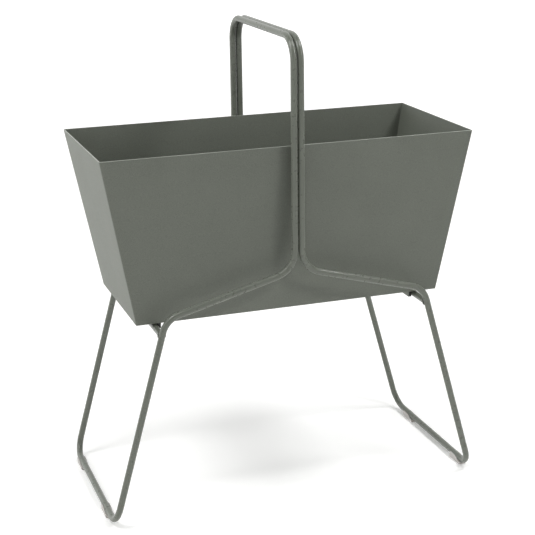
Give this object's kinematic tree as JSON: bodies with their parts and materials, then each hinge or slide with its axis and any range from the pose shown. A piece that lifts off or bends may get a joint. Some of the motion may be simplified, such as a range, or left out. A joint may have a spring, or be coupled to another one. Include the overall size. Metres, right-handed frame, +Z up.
{
  "type": "raised planter",
  "caption": "Raised planter: a tapered, open-topped sheet-metal tub on a frame of bent round bar that spreads into sled legs and rises into a carrying handle over the tub.",
  "frame": {"origin": "on the floor, under the middle of the planter", "axes": "+Z up, X along the tub, -Y towards the front"},
  "size_m": [0.7258, 0.3548, 0.8753],
  "materials": {
    "frame_coat": "satin grey-green powder coat on bent steel bar",
    "tub_coat": "matt grey-green powder coat on folded steel sheet",
    "weld_coat": "powder-coated weld bead",
    "pad_rubber": "black foam rubber strip",
    "plug_rubber": "black moulded rubber",
    "glide_plastic": "pale translucent nylon"
  },
  "bodies": {
    "frame": {"frame_loop_left": "frame_coat", "frame_loop_right": "frame_coat", "crossbar_left": "frame_coat", "crossbar_right": "frame_coat", "weld_tack_front_upper": "weld_coat", "weld_tack_front_lower": "weld_coat", "weld_tack_rear_upper": "weld_coat", "weld_tack_rear_lower": "weld_coat", "weld_tack_handle_front": "weld_coat", "weld_tack_handle_rear": "weld_coat", "glide_front_left": "glide_plastic", "glide_rear_left": "glide_plastic", "glide_front_right": "glide_plastic", "glide_rear_right": "glide_plastic"},
    "tub": {"tub_wrap": "tub_coat", "tub_front_panel": "tub_coat", "tub_rear_panel": "tub_coat", "locating_angle_left": "tub_coat", "locating_angle_right": "tub_coat", "rubber_pad_front_left": "pad_rubber", "rubber_pad_rear_left": "pad_rubber", "rubber_pad_front_right": "pad_rubber", "rubber_pad_rear_right": "pad_rubber"},
    "drain_plug_left": {"drain_plug_left": "plug_rubber"},
    "drain_plug_right": {"drain_plug_right": "plug_rubber"}
  },
  "joints": [
    {"name": "tub_lift", "type": "slide", "parent": "frame", "child": "tub", "axis": [0, 0, 1], "range_m": [0, 0.15]},
    {"name": "drain_plug_left_pull", "type": "slide", "parent": "tub", "child": "drain_plug_left", "axis": [0, 0, 1], "range_m": [0, 0.03]},
    {"name": "drain_plug_right_pull", "type": "slide", "parent": "tub", "child": "drain_plug_right", "axis": [0, 0, 1], "range_m": [0, 0.03]}
  ]
}
